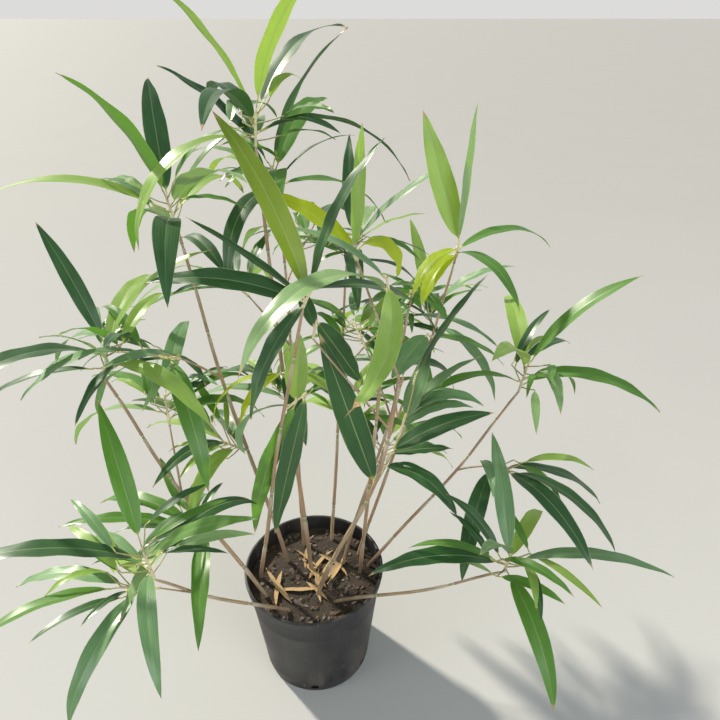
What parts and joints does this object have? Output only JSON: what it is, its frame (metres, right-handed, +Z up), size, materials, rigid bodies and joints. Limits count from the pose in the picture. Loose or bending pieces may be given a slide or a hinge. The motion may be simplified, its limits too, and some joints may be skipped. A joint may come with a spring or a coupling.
{
  "type": "potted bamboo",
  "caption": "Clump of large-leaved bamboo with thin leaning canes and long arching leaves, growing in a plain round nursery pot.",
  "frame": {"origin": "middle of the pot's flat underside", "axes": "+Z up along the pot's axis, -Y towards the side of the clump that the picture shows, +X to that view's right"},
  "size_m": [1.1513, 0.9969, 1.3785],
  "materials": {
    "cane": "smooth tan cane with papery sheaths",
    "leaf": "satin green leaf",
    "pot": "black moulded plastic",
    "potting_mix": "loose bark mix with leaf litter"
  },
  "bodies": {
    "root": {"pot": "pot", "potting_mix": "potting_mix", "culm_a": "cane", "culm_c": "cane", "culm_d": "cane", "culm_e": "cane", "culm_f": "cane", "culm_h": "cane", "culm_i": "cane", "culm_j": "cane", "culm_k": "cane", "culm_l": "cane", "culm_m": "cane", "culm_n": "cane", "culm_o": "cane", "culm_p": "cane", "bough_b": "cane", "bough_d": "cane", "bough_g": "cane", "bough_h": "cane", "bough_i": "cane", "bough_j": "cane", "bough_k": "cane", "bough_l": "cane", "bough_m": "cane", "bough_o": "cane", "bough_p": "cane", "spray_a": "leaf", "spray_a2": "leaf", "spray_b": "leaf", "spray_c": "leaf", "spray_d": "leaf", "spray_d2": "leaf", "spray_e": "leaf", "spray_e2": "leaf", "spray_f": "leaf", "spray_g": "leaf", "spray_h": "leaf", "spray_h2": "leaf", "spray_h3": "leaf", "spray_i": "leaf", "spray_i2": "leaf", "spray_i3": "leaf", "spray_j": "leaf", "spray_j2": "leaf", "spray_j3": "leaf", "spray_k": "leaf", "spray_k2": "leaf", "spray_k3": "leaf", "spray_l": "leaf", "spray_l2": "leaf", "spray_l3": "leaf", "spray_m": "leaf", "spray_m2": "leaf", "spray_n": "leaf", "spray_o": "leaf", "spray_o2": "leaf", "spray_p": "leaf", "spray_p2": "leaf", "spray_p3": "leaf"}
  },
  "joints": []
}
